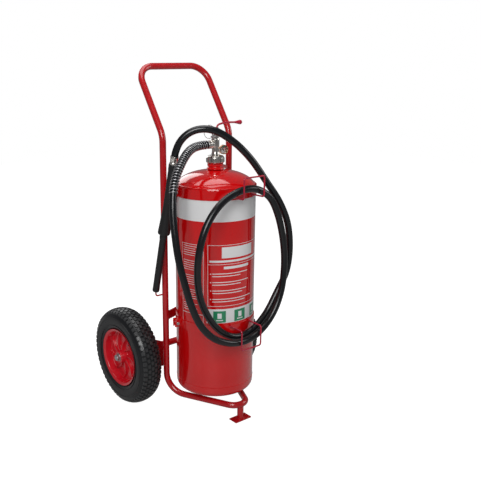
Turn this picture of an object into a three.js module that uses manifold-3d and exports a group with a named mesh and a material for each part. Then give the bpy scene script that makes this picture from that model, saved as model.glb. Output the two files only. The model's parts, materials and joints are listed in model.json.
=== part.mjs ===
// Wheeled dry-powder fire extinguisher: a 50 kg class cylinder on a two-wheeled tubular trolley,
// with a lever valve, a gauge, and a coiled discharge hose that ends in a stowed discharge gun.
// Millimetres, +Z up. The cylinder's axis is X = Y = 0 of the inner group, the front is -Y,
// and the axle and its two wheels are at the back, +Y. The floor is Z = 0.
import * as THREE from 'three';
import { mergeVertices } from 'three/addons/utils/BufferGeometryUtils.js';
import Module from 'manifold-3d';

const wasm = await Module();
wasm.setup();

// ---------- driving dimensions ----------
const GAP = 0.3; // kept between pieces that touch
const SHELL_R = 153.5;
const SHELL_BOTTOM = 100;
const SHELL_WALL = 3;
const SHOULDER_Z = 905; // where the straight side meets the domed top
const DOME_H = 69;
const TUBE_R = 12.5; // frame tube
const RAIL_X = 161;
const RAIL_Y = 110.8;
const RAIL_SPLIT_LOW = 150;
const RAIL_SPLIT_HIGH = 1060;
const KINK_Z = 1100;
const HANDLE_Y = 273.7;
const HANDLE_Z = 1346;
const BOW_Z = 65;
const BOW_CORNER_Y = -230; // where the two straight legs of the base would meet
const FOOT_Y = -162;
const FOOT_PLATE = [80, 42, 5];
const WHEEL_R = 200;
const WHEEL_X = 257;
const WHEEL_Y = 254;
const AXLE_R = 8;
const LOWER_BAND_Z = 388;
const UPPER_BAND_Z = 901;
const BAND_H = 36;
const BAND_R = SHELL_R + 0.4;
const BAND_T = 2.4;
const WIRE_R = 3; // bent rod of the hose hooks
const HOOK_Y = -217.5;
const HOOK_HALF = 48;
const UPPER_HOOK = { armZ: 895, barZ: 971 };
const LOWER_HOOK = { armZ: 400, barZ: 322 };
const PEG = { z: 484, tipZ: 522 }; // the bent rod that the gun's nozzle sits on
const OUTLET_Z = 1067;
const LEVER_Z = 1120;
const GAUGE_Z = 1045;
const HOSE_R = 13;
const GUARD_R = 16.5; // outside of the spring guard on the hose's first stretch
const GUN_TOP = new THREE.Vector3(-204, -22, 1042);
const GUN_MOUTH = new THREE.Vector3(-206, 111, 505);
const GUN_UP = GUN_TOP.clone().sub(GUN_MOUTH).normalize();

// ---------- finishes ----------
const paint = (color, roughness) => new THREE.MeshStandardMaterial({ color, roughness, metalness: 0.1 });
const metal = (color, roughness) => new THREE.MeshStandardMaterial({ color, roughness, metalness: 1 });
const FINISH = {
  shell: paint(0xd4070c, 0.25),
  frame: paint(0xa80d14, 0.35),
  hook: paint(0xb5162a, 0.4),
  rim: paint(0xd81420, 0.4),
  nickel: metal(0xb9b4a8, 0.25),
  steel: metal(0x8d8f92, 0.4),
  brass: metal(0xb08a50, 0.35),
  rubber: paint(0x111112, 0.6),
  tyre: paint(0x141414, 0.75),
  plastic: paint(0x151516, 0.45),
  dial: paint(0xf2f0ea, 0.6),
  glass: new THREE.MeshStandardMaterial({ color: 0xe8f0f2, roughness: 0.05, transparent: true, opacity: 0.35 }),
};

// ---------- helpers ----------
const trolley = new THREE.Group();
const vec = (x, y, z) => new THREE.Vector3(x, y, z);
const UP = vec(0, 0, 1);

function add(name, geometry, material, parent = trolley) {
  const mesh = new THREE.Mesh(geometry, material);
  mesh.name = name;
  parent.add(mesh);
  return mesh;
}

/** A solid of revolution about +Z from [radius, height] points that run counter-clockwise. */
function turned(profile, segments = 20) {
  const points = profile.map(([r, z]) => new THREE.Vector2(r, z));
  return new THREE.LatheGeometry(points, segments).rotateX(Math.PI / 2);
}

const rod = (radius, z0, z1, segments = 16) => turned([[0, z0], [radius, z0], [radius, z1], [0, z1]], segments);

/** A ring or sleeve about +Z between two radii and two heights. */
function sleeve(inner, outer, z0, z1, segments = 20) {
  return turned([[inner, z0], [outer, z0], [outer, z1], [inner, z1], [inner, z0]], segments);
}

/** Turns a shape made about +Z to point along a direction, then moves it to a place. */
function aim(geometry, direction, place) {
  const turn = new THREE.Quaternion().setFromUnitVectors(UP, direction.clone().normalize());
  return geometry.applyQuaternion(turn).translate(place.x, place.y, place.z);
}

function block(x0, x1, y0, y1, z0, z1) {
  const box = new THREE.BoxGeometry(x1 - x0, y1 - y0, z1 - z0);
  return box.translate((x0 + x1) / 2, (y0 + y1) / 2, (z0 + z1) / 2);
}

/** A curve through given stations, each with its own direction, so straight stretches need only two. */
class StationCurve extends THREE.Curve {
  constructor(stations) {
    super();
    this.stations = stations;
  }

  at(u) {
    return this.stations[Math.round(u * (this.stations.length - 1))];
  }

  getPointAt(u) {
    return this.at(u).point.clone();
  }

  getTangentAt(u) {
    return this.at(u).tangent.clone();
  }
}

/** Stations along a line of corners whose inner corners are rounded to the given radii. */
function bentLine(corners, radii, stepAngle) {
  const heading = corners.slice(1).map((corner, i) => corner.clone().sub(corners[i]).normalize());
  const stations = [{ point: corners[0], tangent: heading[0] }];
  for (let i = 1; i < corners.length - 1; i += 1) {
    const before = heading[i - 1];
    const after = heading[i];
    const turn = before.angleTo(after);
    const radius = radii[i - 1];
    const start = corners[i].clone().addScaledVector(before, -radius * Math.tan(turn / 2));
    const inward = after.clone().addScaledVector(before, -Math.cos(turn)).normalize();
    const steps = Math.max(2, Math.ceil(turn / stepAngle));
    for (let k = 0; k <= steps; k += 1) {
      const angle = (turn * k) / steps;
      const point = start.clone().addScaledVector(before, radius * Math.sin(angle));
      point.addScaledVector(inward, radius * (1 - Math.cos(angle)));
      const tangent = before.clone().multiplyScalar(Math.cos(angle)).addScaledVector(inward, Math.sin(angle));
      stations.push({ point, tangent });
    }
  }
  stations.push({ point: corners.at(-1), tangent: heading.at(-1) });
  return stations;
}

/** A round section whose flats' corners lie on the given radius. */
function roundSection(radius, sides) {
  const section = new THREE.Shape();
  for (let i = 0; i < sides; i += 1) {
    const angle = (2 * Math.PI * i) / sides;
    const [x, y] = [radius * Math.cos(angle), radius * Math.sin(angle)];
    if (i === 0) section.moveTo(x, y);
    else section.lineTo(x, y);
  }
  section.closePath();
  return section;
}

function sweep(section, curve, steps) {
  return new THREE.ExtrudeGeometry(section, { extrudePath: curve, steps, curveSegments: 1 });
}

function bentTube(corners, radii, radius, sides = 10, stepAngle = 0.36) {
  const stations = bentLine(corners, radii, stepAngle);
  return sweep(roundSection(radius, sides), new StationCurve(stations), stations.length - 1);
}

/** A flat plate: an outline in a plane, given thickness along the plane's normal. */
function plate(outline, thickness, curveSegments = 8) {
  return new THREE.ExtrudeGeometry(outline, { depth: thickness, bevelEnabled: false, curveSegments });
}

function polygon(points) {
  return new THREE.Shape(points.map(([x, y]) => new THREE.Vector2(x, y)));
}

function toSolid(geometry) {
  const bare = geometry.clone();
  bare.deleteAttribute('normal');
  bare.deleteAttribute('uv');
  const merged = mergeVertices(bare, 1e-4);
  const index = merged.index.array;
  const kept = [];
  for (let i = 0; i < index.length; i += 3) {
    const [a, b, c] = index.slice(i, i + 3);
    if (a !== b && b !== c && c !== a) kept.push(a, b, c);
  }
  const vertProperties = new Float32Array(merged.attributes.position.array);
  return new wasm.Manifold(new wasm.Mesh({ numProp: 3, vertProperties, triVerts: new Uint32Array(kept) }));
}

function toGeometry(solid) {
  const mesh = solid.getMesh();
  const geometry = new THREE.BufferGeometry();
  geometry.setAttribute('position', new THREE.BufferAttribute(new Float32Array(mesh.vertProperties), 3));
  geometry.setIndex(new THREE.BufferAttribute(new Uint32Array(mesh.triVerts), 1));
  return geometry;
}

/** The first geometry joined with some and cut by others. */
function shaped(base, joined, cut = []) {
  let solid = toSolid(base);
  for (const piece of joined) solid = solid.add(toSolid(piece));
  for (const piece of cut) solid = solid.subtract(toSolid(piece));
  return toGeometry(solid);
}

// ---------- tubular frame ----------
function mirroredCorners(half) {
  const other = half.map((p) => vec(-p.x, p.y, p.z)).reverse();
  return [...half, ...other];
}

function baseBowLine(tubeRadius) {
  const corners = mirroredCorners([vec(-RAIL_X, RAIL_Y, RAIL_SPLIT_LOW), vec(-RAIL_X, RAIL_Y, BOW_Z)]);
  corners.splice(2, 0, vec(0, BOW_CORNER_Y, BOW_Z));
  const legBend = 80;
  const noseBend = 48;
  return bentTube(corners, [legBend, noseBend, legBend], tubeRadius);
}

function buildFrame() {
  const kinkBend = 90;
  const gripBend = 68;
  const handle = mirroredCorners([
    vec(-RAIL_X, RAIL_Y, RAIL_SPLIT_HIGH + GAP),
    vec(-RAIL_X, RAIL_Y, KINK_Z),
    vec(-RAIL_X, HANDLE_Y, HANDLE_Z),
  ]);
  add('handle_bow', bentTube(handle, [kinkBend, gripBend, gripBend, kinkBend], TUBE_R), FINISH.frame);
  for (const [side, sign] of [['left', -1], ['right', 1]]) {
    const rail = rod(TUBE_R, RAIL_SPLIT_LOW + GAP, RAIL_SPLIT_HIGH, 10);
    add(`rail_${side}`, rail, FINISH.frame).position.set(sign * RAIL_X, RAIL_Y, 0);
  }
  add('base_bow', baseBowLine(TUBE_R), FINISH.frame);
  const post = rod(TUBE_R, FOOT_PLATE[2] + GAP, BOW_Z, 16).translate(0, FOOT_Y, 0);
  add('foot_post', shaped(post, [], [baseBowLine(TUBE_R + GAP)]), FINISH.frame);
  const [width, depth, height] = FOOT_PLATE;
  const plateBox = block(-width / 2, width / 2, FOOT_Y - depth / 2, FOOT_Y + depth / 2, 0, height);
  add('foot_plate', plateBox, FINISH.frame);
}

// ---------- axle and its brackets ----------
const BRACKET_T = 6;
const AXLE_TUBE_R = 14;
const AXLE_TUBE_HALF = RAIL_X + 9;
const AXLE_OVERHANG = 14; // past the hub's face

function bracketOutline() {
  const front = RAIL_Y + TUBE_R + GAP;
  const eyeR = 27;
  const cornerR = 24;
  const cornerZ = 186;
  const outline = new THREE.Shape();
  outline.moveTo(front, 276);
  outline.lineTo(WHEEL_Y - 60, 262);
  outline.absarc(WHEEL_Y, WHEEL_R, eyeR, 0.9, -2.1, true);
  outline.absarc(front + cornerR, cornerZ, cornerR, -Math.PI / 2, -Math.PI, true);
  return outline;
}

function buildAxle() {
  for (const [side, sign] of [['left', -1], ['right', 1]]) {
    // The outline's plane is YZ; its thickness runs along +X.
    const sheet = plate(bracketOutline(), BRACKET_T);
    const basis = new THREE.Matrix4().makeBasis(vec(0, 1, 0), UP, vec(1, 0, 0));
    sheet.applyMatrix4(basis).translate(sign * RAIL_X - BRACKET_T / 2, 0, 0);
    const hole = aim(rod(AXLE_TUBE_R + GAP, -WHEEL_X, WHEEL_X, 24), vec(1, 0, 0), vec(0, WHEEL_Y, WHEEL_R));
    add(`axle_bracket_${side}`, shaped(sheet, [], [hole]), FINISH.frame);
  }
  const tube = sleeve(AXLE_R + GAP, AXLE_TUBE_R, -AXLE_TUBE_HALF, AXLE_TUBE_HALF);
  add('axle_tube', aim(tube, vec(1, 0, 0), vec(0, WHEEL_Y, WHEEL_R)), FINISH.frame);
  const half = WHEEL_X + HUB_FACE + AXLE_OVERHANG;
  const shaft = turned([
    [0, -half], [AXLE_R - 1.5, -half], [AXLE_R, -half + 1.5],
    [AXLE_R, half - 1.5], [AXLE_R - 1.5, half], [0, half],
  ], 16);
  add('axle', aim(shaft, vec(1, 0, 0), vec(0, WHEEL_Y, WHEEL_R)), FINISH.steel);
}

// ---------- wheels ----------
const RIM_LIP_R = 119.5;
const BEAD_R = 113;
const HUB_R = 24;
const BEARING_R = 16;
const HUB_FACE = 44; // outboard face of the hub, from the wheel's middle plane
const HUB_BACK = -42;

/** Tyre section: [radius, offset from the wheel's middle plane], an open C that the rim closes. */
function tyreProfile() {
  const outer = [[BEAD_R + 4, 36], [BEAD_R + 11, 43], [150, 48.5], [176, 45.5], [193, 32], [199, 14], [WHEEL_R, 0]];
  const inner = [[191, 0], [186, 26], [165, 39], [BEAD_R + 4, 30]];
  const mirrored = (side) => side.map(([r, o]) => [r, -o]);
  const outside = [...mirrored(outer), ...outer.slice(0, -1).reverse()];
  const inside = [...inner.slice().reverse(), ...mirrored(inner.slice(1))];
  return [...outside, ...inside, outside[0]];
}

/** Rim section: outer barrel with two lips, dished web and hub, as one moulding. */
function rimProfile() {
  return [
    [BEARING_R + GAP, HUB_BACK], [HUB_R, HUB_BACK], [HUB_R + 2, -8], [BEAD_R - 8, -2], [BEAD_R - 5, -40],
    [RIM_LIP_R - 1, -46], [BEAD_R + 2, -38], [BEAD_R, -28], [BEAD_R, 28], [BEAD_R + 2, 38],
    [RIM_LIP_R, 46], [BEAD_R - 5, 41], [BEAD_R - 9, 12], [HUB_R + 6, 14], [HUB_R, HUB_FACE],
    [BEARING_R + GAP, HUB_FACE], [BEARING_R + GAP, HUB_BACK],
  ];
}

function hexNut(acrossFlats, boreR, height) {
  const corner = acrossFlats / Math.sqrt(3);
  return shaped(rod(corner, 0, height, 6), [], [rod(boreR, -1, height + 1, 20)]);
}

function buildWheel(side, sign) {
  const wheel = new THREE.Group();
  wheel.position.set(sign * WHEEL_X, WHEEL_Y, WHEEL_R);
  trolley.add(wheel);
  const outboard = vec(sign, 0, 0);
  const centre = vec(0, 0, 0);
  add(`tyre_${side}`, aim(turned(tyreProfile(), 36), outboard, centre), FINISH.tyre, wheel);
  const valveAngle = 2.3;
  const valveCircleR = 95;
  const stemPlace = vec(0, valveCircleR * Math.cos(valveAngle), valveCircleR * Math.sin(valveAngle));
  const valveHole = aim(rod(4.5, -20, 40, 12), outboard, stemPlace);
  const rim = aim(turned(rimProfile(), 32), outboard, centre);
  add(`rim_${side}`, shaped(rim, [], [valveHole]), FINISH.rim, wheel);
  const stem = turned([[0, -1], [4, -1], [4, 26], [3, 27], [3, 36], [0, 36]], 12);
  add(`tyre_valve_${side}`, aim(stem, outboard, stemPlace), FINISH.plastic, wheel);
  const bearing = sleeve(AXLE_R + 0.1, BEARING_R, HUB_BACK, HUB_FACE);
  add(`hub_bearing_${side}`, aim(bearing, outboard, centre), FINISH.steel, wheel);

  const fixed = new THREE.Group();
  fixed.position.copy(wheel.position);
  trolley.add(fixed);
  const washer = sleeve(AXLE_R + GAP, 15, HUB_FACE + GAP, HUB_FACE + 2.5);
  add(`axle_washer_${side}`, aim(washer, outboard, centre), FINISH.steel, fixed);
  const nutHeight = 8;
  const nut = hexNut(24, AXLE_R + GAP, nutHeight).translate(0, 0, HUB_FACE + 2.5 + GAP);
  add(`axle_nut_${side}`, aim(nut, outboard, centre), FINISH.steel, fixed);
  const spacerStart = AXLE_TUBE_HALF + GAP - WHEEL_X;
  const spacer = sleeve(AXLE_R + GAP, 12.5, spacerStart, HUB_BACK - GAP);
  add(`axle_spacer_${side}`, aim(spacer, outboard, centre), FINISH.steel, fixed);
}

// ---------- saddles and clamp bands that hold the cylinder ----------
const SADDLE_T = 5;
const CLAMP_ANGLE = THREE.MathUtils.degToRad(168); // the clamp's ears, from +X towards +Y

/** Seen from above: from one rail, tangent to the cylinder's back, round it, and out to the other rail. */
function saddleOutline() {
  const inner = BAND_R + BAND_T + GAP;
  const outer = inner + SADDLE_T;
  const touch = THREE.MathUtils.degToRad(71);
  const end = RAIL_X - TUBE_R - GAP;
  const alongTo = (radius, sign) => {
    const [x, y] = [radius * Math.cos(touch), radius * Math.sin(touch)];
    const reach = (end - x) / Math.sin(touch);
    return [sign * end, y - reach * Math.cos(touch)];
  };
  const outline = new THREE.Shape();
  outline.moveTo(...alongTo(outer, 1));
  outline.absarc(0, 0, outer, touch, Math.PI - touch, false);
  outline.lineTo(...alongTo(outer, -1));
  outline.lineTo(...alongTo(inner, -1));
  outline.absarc(0, 0, inner, Math.PI - touch, touch, true);
  outline.lineTo(...alongTo(inner, 1));
  return outline;
}

/** An open ring strap with two flat ears that stand out beside the slit. */
function bandOutline() {
  const slit = 0.045;
  const ear = 22;
  const outer = BAND_R + BAND_T;
  const earThick = 0.025;
  const at = (radius, angle) => [radius * Math.cos(angle), radius * Math.sin(angle)];
  const outline = new THREE.Shape();
  const first = CLAMP_ANGLE + slit;
  const last = CLAMP_ANGLE - slit + 2 * Math.PI;
  outline.moveTo(...at(BAND_R, first));
  outline.lineTo(...at(outer + ear, first));
  outline.lineTo(...at(outer + ear, first + earThick));
  outline.absarc(0, 0, outer, first + earThick, last - earThick, false);
  outline.lineTo(...at(outer + ear, last - earThick));
  outline.lineTo(...at(outer + ear, last));
  outline.absarc(0, 0, BAND_R, last, first, true);
  return outline;
}

function buildClamps() {
  for (const [level, z] of [['lower', LOWER_BAND_Z], ['upper', UPPER_BAND_Z]]) {
    const bottom = z - BAND_H / 2;
    const saddle = plate(saddleOutline(), BAND_H, 10).translate(0, 0, bottom);
    add(`saddle_${level}`, saddle, FINISH.frame);
    const boltR = 4;
    const radial = BAND_R + BAND_T + 12;
    const place = vec(radial * Math.cos(CLAMP_ANGLE), radial * Math.sin(CLAMP_ANGLE), z);
    const across = vec(-Math.sin(CLAMP_ANGLE), Math.cos(CLAMP_ANGLE), 0);
    const boltHole = aim(rod(boltR + GAP, -40, 40, 12), across, place);
    const band = plate(bandOutline(), BAND_H, 26).translate(0, 0, bottom);
    add(`clamp_band_${level}`, shaped(band, [], [boltHole]), FINISH.shell);
    const half = 13.2;
    const bolt = turned([
      [0, -half - 7], [7, -half - 7], [7, -half], [boltR, -half], [boltR, half],
      [6.5, half], [6.5, half + 6], [0, half + 6],
    ], 12);
    add(`clamp_bolt_${level}`, aim(bolt, across, place), FINISH.steel);
  }
}

// ---------- hose hooks, neck stay and nozzle peg ----------
function hookCorners({ armZ, barZ }) {
  const bandFront = -Math.sqrt((BAND_R + BAND_T) ** 2 - HOOK_HALF ** 2) - WIRE_R * 0.5 - GAP;
  return mirroredCorners([
    vec(-HOOK_HALF, bandFront, armZ), vec(-HOOK_HALF, HOOK_Y, armZ), vec(-HOOK_HALF, HOOK_Y, barZ),
  ]);
}

function buildHooks() {
  const bend = 9;
  const bends = [bend, bend, bend, bend];
  add('hose_hook_upper', bentTube(hookCorners(UPPER_HOOK), bends, WIRE_R, 8, 0.4), FINISH.hook);
  add('hose_hook_lower', bentTube(hookCorners(LOWER_HOOK), bends, WIRE_R, 8, 0.4), FINISH.hook);
  const railEnd = vec(RAIL_X - TUBE_R, RAIL_Y - 9, 956);
  const neckEnd = vec(29, 19.5, 985);
  const stay = block(-2, 2, -7, 7, 0, railEnd.distanceTo(neckEnd));
  const stayBar = add('neck_stay', stay, FINISH.frame);
  stayBar.up.copy(UP);
  stayBar.position.copy(neckEnd);
  stayBar.lookAt(railEnd);
  const peg = [
    vec(-RAIL_X - TUBE_R - GAP, RAIL_Y, PEG.z),
    vec(GUN_MOUTH.x, RAIL_Y, PEG.z),
    vec(GUN_MOUTH.x, RAIL_Y, PEG.tipZ),
  ];
  add('nozzle_peg', bentTube(peg, [9], WIRE_R, 8, 0.4), FINISH.frame);
}

// ---------- pressure cylinder ----------
const NECK_BORE_R = 24;
const NECK_Z = 972; // underside of the neck ring

function shellProfile() {
  const bottomBend = 26;
  const profile = [];
  const arc = (cr, cz, rx, rz, from, to, count) => {
    for (let i = 0; i <= count; i += 1) {
      const angle = from + ((to - from) * i) / count;
      profile.push([cr + rx * Math.cos(angle), cz + rz * Math.sin(angle)]);
    }
  };
  const neckAngle = (radius, boreR) => Math.acos(boreR / radius);
  const innerR = SHELL_R - SHELL_WALL;
  const innerBend = bottomBend - SHELL_WALL;
  const centreR = SHELL_R - bottomBend;
  const centreZ = SHELL_BOTTOM + bottomBend;
  profile.push([0, SHELL_BOTTOM]);
  arc(centreR, centreZ, bottomBend, bottomBend, -Math.PI / 2, 0, 3);
  arc(0, SHOULDER_Z, SHELL_R, DOME_H, 0, neckAngle(SHELL_R, NECK_BORE_R), 8);
  arc(0, SHOULDER_Z, innerR, DOME_H - SHELL_WALL, neckAngle(innerR, NECK_BORE_R), 0, 4);
  arc(centreR, centreZ, innerBend, innerBend, 0, -Math.PI / 2, 2);
  profile.push([0, SHELL_BOTTOM + SHELL_WALL]);
  return profile;
}

function buildCylinder() {
  add('cylinder_shell', turned(shellProfile(), 40), FINISH.shell);
  const low = NECK_Z + 2.5;
  const ring = turned([
    [NECK_BORE_R, low], [31.5, low], [32.5, low + 4], [30, low + 8], [27.5, low + 9],
    [27.5, low + 12], [30, low + 13], [30, 995.6], [NECK_BORE_R, 995.6], [NECK_BORE_R, low],
  ], 24);
  add('neck_ring', ring, FINISH.shell);
  add('neck_seal', sleeve(NECK_BORE_R + 1, 29, 995.9, 997.7), FINISH.rubber);
  const nut = turned([
    [15.5, 998], [31, 998], [34.3, 1001], [34.3, 1018], [30, 1024], [22, 1026.5], [15.5, 1026.5], [15.5, 998],
  ], 24);
  add('neck_nut', nut, FINISH.nickel);
  const dip = sleeve(8, 10, SHELL_BOTTOM + 18, 968, 16);
  add('dip_tube', dip, FINISH.steel);
}

// ---------- valve ----------
const STEM_R = 4;
const PIN_Y = -10.5;
const SAFETY_PIN_Z = 1096;

function buildValve() {
  const column = turned([
    [0, 968.5], [12, 968.5], [12, 975], [NECK_BORE_R - 1, 975], [NECK_BORE_R - 1, 994], [15, 994],
    [15, 1030], [13, 1040], [13, 1054], [15, 1060], [15, 1084], [13.5, 1090], [13.5, 1108], [0, 1108],
  ], 20);
  const outletStub = aim(rod(11.5, 0, 22), vec(-1, 0, 0), vec(0, 0, OUTLET_Z));
  const stubReach = GAUGE_CENTRE.x - GAUGE_R - 1.2;
  const gaugeStub = aim(rod(5, 0, stubReach), vec(1, 0, 0), vec(0, GAUGE_CENTRE.y, GAUGE_Z));
  const ears = block(-8, 8, -8.5, 8.5, 1104, 1129);
  const earSlot = block(-20, 20, -4.2, 4.2, 1109, 1140);
  const stemBore = rod(STEM_R + GAP, 1000, 1120, 16);
  const flowBore = rod(8, 960, 1062, 16);
  const sideBore = aim(rod(7, 0, 40, 16), vec(-1, 0, 0), vec(0, 0, 1055));
  const pivotBore = aim(rod(2.5 + GAP, -20, 20, 12), vec(0, 1, 0), vec(0, 0, LEVER_Z));
  const pinBore = aim(rod(2 + GAP, -30, 30, 12), vec(1, 0, 0), vec(0, PIN_Y, SAFETY_PIN_Z));
  const cuts = [earSlot, stemBore, flowBore, sideBore, pivotBore, pinBore];
  add('valve_body', shaped(column, [outletStub, gaugeStub, ears], cuts), FINISH.nickel);

  const stem = turned([[0, 1050], [6.5, 1050], [6.5, 1058], [STEM_R, 1061], [STEM_R, 1112.5], [0, 1112.5]], 16);
  add('valve_stem', stem, FINISH.steel);

  const hubR = 7;
  const hub = aim(rod(hubR, -3.6, 3.6, 20), vec(0, 1, 0), vec(0, 0, LEVER_Z));
  const line = [vec(2, 0, LEVER_Z), vec(12, 0, 1138), vec(48, 0, 1144), vec(94, 0, 1142)];
  const arm = bentTube(line, [14, 30], 3.6, 10, 0.4);
  const hubBore = aim(rod(2.5 + GAP, -20, 20, 12), vec(0, 1, 0), vec(0, 0, LEVER_Z));
  add('valve_lever', shaped(hub, [arm], [hubBore]), FINISH.hook);
  const knob = turned([[0, 0], [4.2, 0], [5, 6], [8.4, 24], [8.6, 28], [6, 32], [0, 33]], 20);
  add('lever_knob', aim(knob, vec(46, 0, -2), vec(94 + GAP, 0, 1142)), FINISH.hook);
  const pivot = turned([[0, -11], [4, -11], [4, -9], [2.5, -9], [2.5, 11], [0, 11]], 12);
  add('lever_pivot_pin', aim(pivot, vec(0, 1, 0), vec(0, 0, LEVER_Z)), FINISH.steel);

  const ringR = 24;
  const ringPlace = vec(-38, PIN_Y, SAFETY_PIN_Z + 19.5);
  const wireRing = (wireR) => new THREE.TorusGeometry(ringR, wireR, 6, 20).rotateX(Math.PI / 2);
  const pinBody = turned([[0, -28], [4, -28], [4.4, -26], [4.4, -21], [2, -19], [2, 24], [0, 24]], 16);
  const pinAimed = aim(pinBody, vec(1, 0, 0), vec(0, PIN_Y, SAFETY_PIN_Z));
  const tunnel = wireRing(1.8).translate(ringPlace.x, ringPlace.y, ringPlace.z);
  add('safety_pin', shaped(pinAimed, [], [tunnel]), FINISH.steel);
  add('pull_ring', wireRing(1.2), FINISH.steel).position.copy(ringPlace);
}

// ---------- pressure gauge ----------
const GAUGE_R = 17.5;
const GAUGE_CENTRE = vec(34, -6, GAUGE_Z);
const GAUGE_FACING = vec(-0.2, -0.98, 0);

function buildGauge() {
  const back = -9;
  const face = 7;
  const caseProfile = [
    [0, back], [14, back], [GAUGE_R, back + 3], [GAUGE_R, face], [15, face], [15, back + 4], [0, back + 4],
  ];
  add('gauge_case', aim(turned(caseProfile, 24), GAUGE_FACING, GAUGE_CENTRE), FINISH.brass);
  const dial = turned([
    [0.9, back + 4 + GAP], [14.7, back + 4 + GAP], [14.7, back + 6], [0.9, back + 6], [0.9, back + 4 + GAP],
  ], 20);
  add('gauge_dial', aim(dial, GAUGE_FACING, GAUGE_CENTRE), FINISH.dial);
  const hub = rod(2, back + 6.4, back + 8.2, 12);
  const pointer = polygon([[-1.2, -4], [1.2, -4], [0.5, 12], [-0.5, 12]]);
  const blade = plate(pointer, 1).translate(0, 0, back + 6.8);
  add('gauge_needle', aim(shaped(hub, [blade]), GAUGE_FACING, GAUGE_CENTRE), FINISH.plastic);
  const lens = rod(14.7, face - 2.6, face - 0.8, 20);
  add('gauge_lens', aim(lens, GAUGE_FACING, GAUGE_CENTRE), FINISH.glass);
}

// ---------- hose ----------
// The hose leaves the valve to the left, hangs down the cylinder's left side, passes behind the lower
// hook, climbs the right side, lies over the upper hook, makes a second turn behind the first,
// and arches over the valve to the gun.
const HOSE_ROUTE = [
  [-38.5, 0, 1067], [-64, 0, 1067], [-100, -7, 1064], [-138, -24, 1056], [-177, -46, 1039], [-215, -68, 1011],
  [-244, -83, 978], [-264, -96, 938], [-277, -109, 890], [-285, -122, 836], [-289, -137, 778], [-288, -153, 706],
  [-277, -171, 622], [-256, -186, 531], [-222, -196, 455], [-166, -200, 396], [-88, -201, 358], [-6, -200, 349],
  [66, -199, 372], [130, -198, 428], [173, -195, 512], [188, -191, 620], [174, -190, 728], [140, -191, 824],
  [104, -192, 879], [56, -193, 912], [0, -194, 926], [-70, -195, 917], [-134, -195, 888], [-188, -194, 832],
  [-221, -192, 756], [-230, -185, 659], [-211, -175, 556], [-163, -169, 462], [-101, -168, 394], [-33, -169, 360],
  [44, -168, 366], [119, -165, 414], [181, -164, 494], [225, -166, 567], [238, -168, 655], [222, -169, 761],
  [176, -170, 849], [106, -168, 936], [38, -158, 1022], [-16, -139, 1079], [-68, -117, 1118], [-97, -102.5, 1131.5],
  [-124, -85.5, 1136], [-150, -67, 1131], [-174, -49.5, 1115], [-192, -35, 1089], [-202, -26, 1058],
  [-204, -21.5, 1040],
];
const GUARD_LENGTH = 310;
const HOSE_STEPS = 74;

/** A stretch of another curve between two distances along it. */
class Stretch extends THREE.Curve {
  constructor(whole, from, to) {
    super();
    this.whole = whole;
    this.from = from;
    this.to = to;
  }

  getPointAt(u) {
    return this.whole.getPointAt(this.from + (this.to - this.from) * u);
  }

  getTangentAt(u) {
    return this.whole.getTangentAt(this.from + (this.to - this.from) * u);
  }
}

function buildHose() {
  const route = new THREE.CatmullRomCurve3(HOSE_ROUTE.map((p) => vec(...p)));
  route.arcLengthDivisions = 2000;
  const length = route.getLength();
  const split = GUARD_LENGTH / length;
  const guard = sweep(roundSection(GUARD_R, 12), new Stretch(route, 0, split), 12);
  add('hose_guard', guard, FINISH.steel);
  const rest = new Stretch(route, split + GAP / length, 1);
  const tube = sweep(roundSection(HOSE_R, 8), rest, HOSE_STEPS);
  const pastTheFerruleFace = aim(rod(2 * HOSE_R, -60, GAP), GUN_UP, GUN_TOP);
  add('discharge_hose', shaped(tube, [], [pastTheFerruleFace]), FINISH.rubber);
  const coupling = turned([
    [11.8, 16], [14, 16], [15.5, 18], [15.5, 24], [14, 26], [15.5, 28], [15.5, 37], [14.5, 38], [8, 38], [8, 22.3],
    [11.8, 22.3], [11.8, 16],
  ], 16);
  add('outlet_coupling', aim(coupling, vec(-1, 0, 0), vec(0, 0, OUTLET_Z)), FINISH.nickel);
}

// ---------- discharge gun ----------
// Built pointing down its own -Z from the hose's end, then turned to lie beside the left rail.
const GUN_LENGTH = GUN_TOP.distanceTo(GUN_MOUTH);
const TRIGGER_PIVOT = 205; // below the gun's top
const TRIGGER_OFFSET = 22; // from the gun's axis
const SMALL_PIN_R = 2.5;

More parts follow.
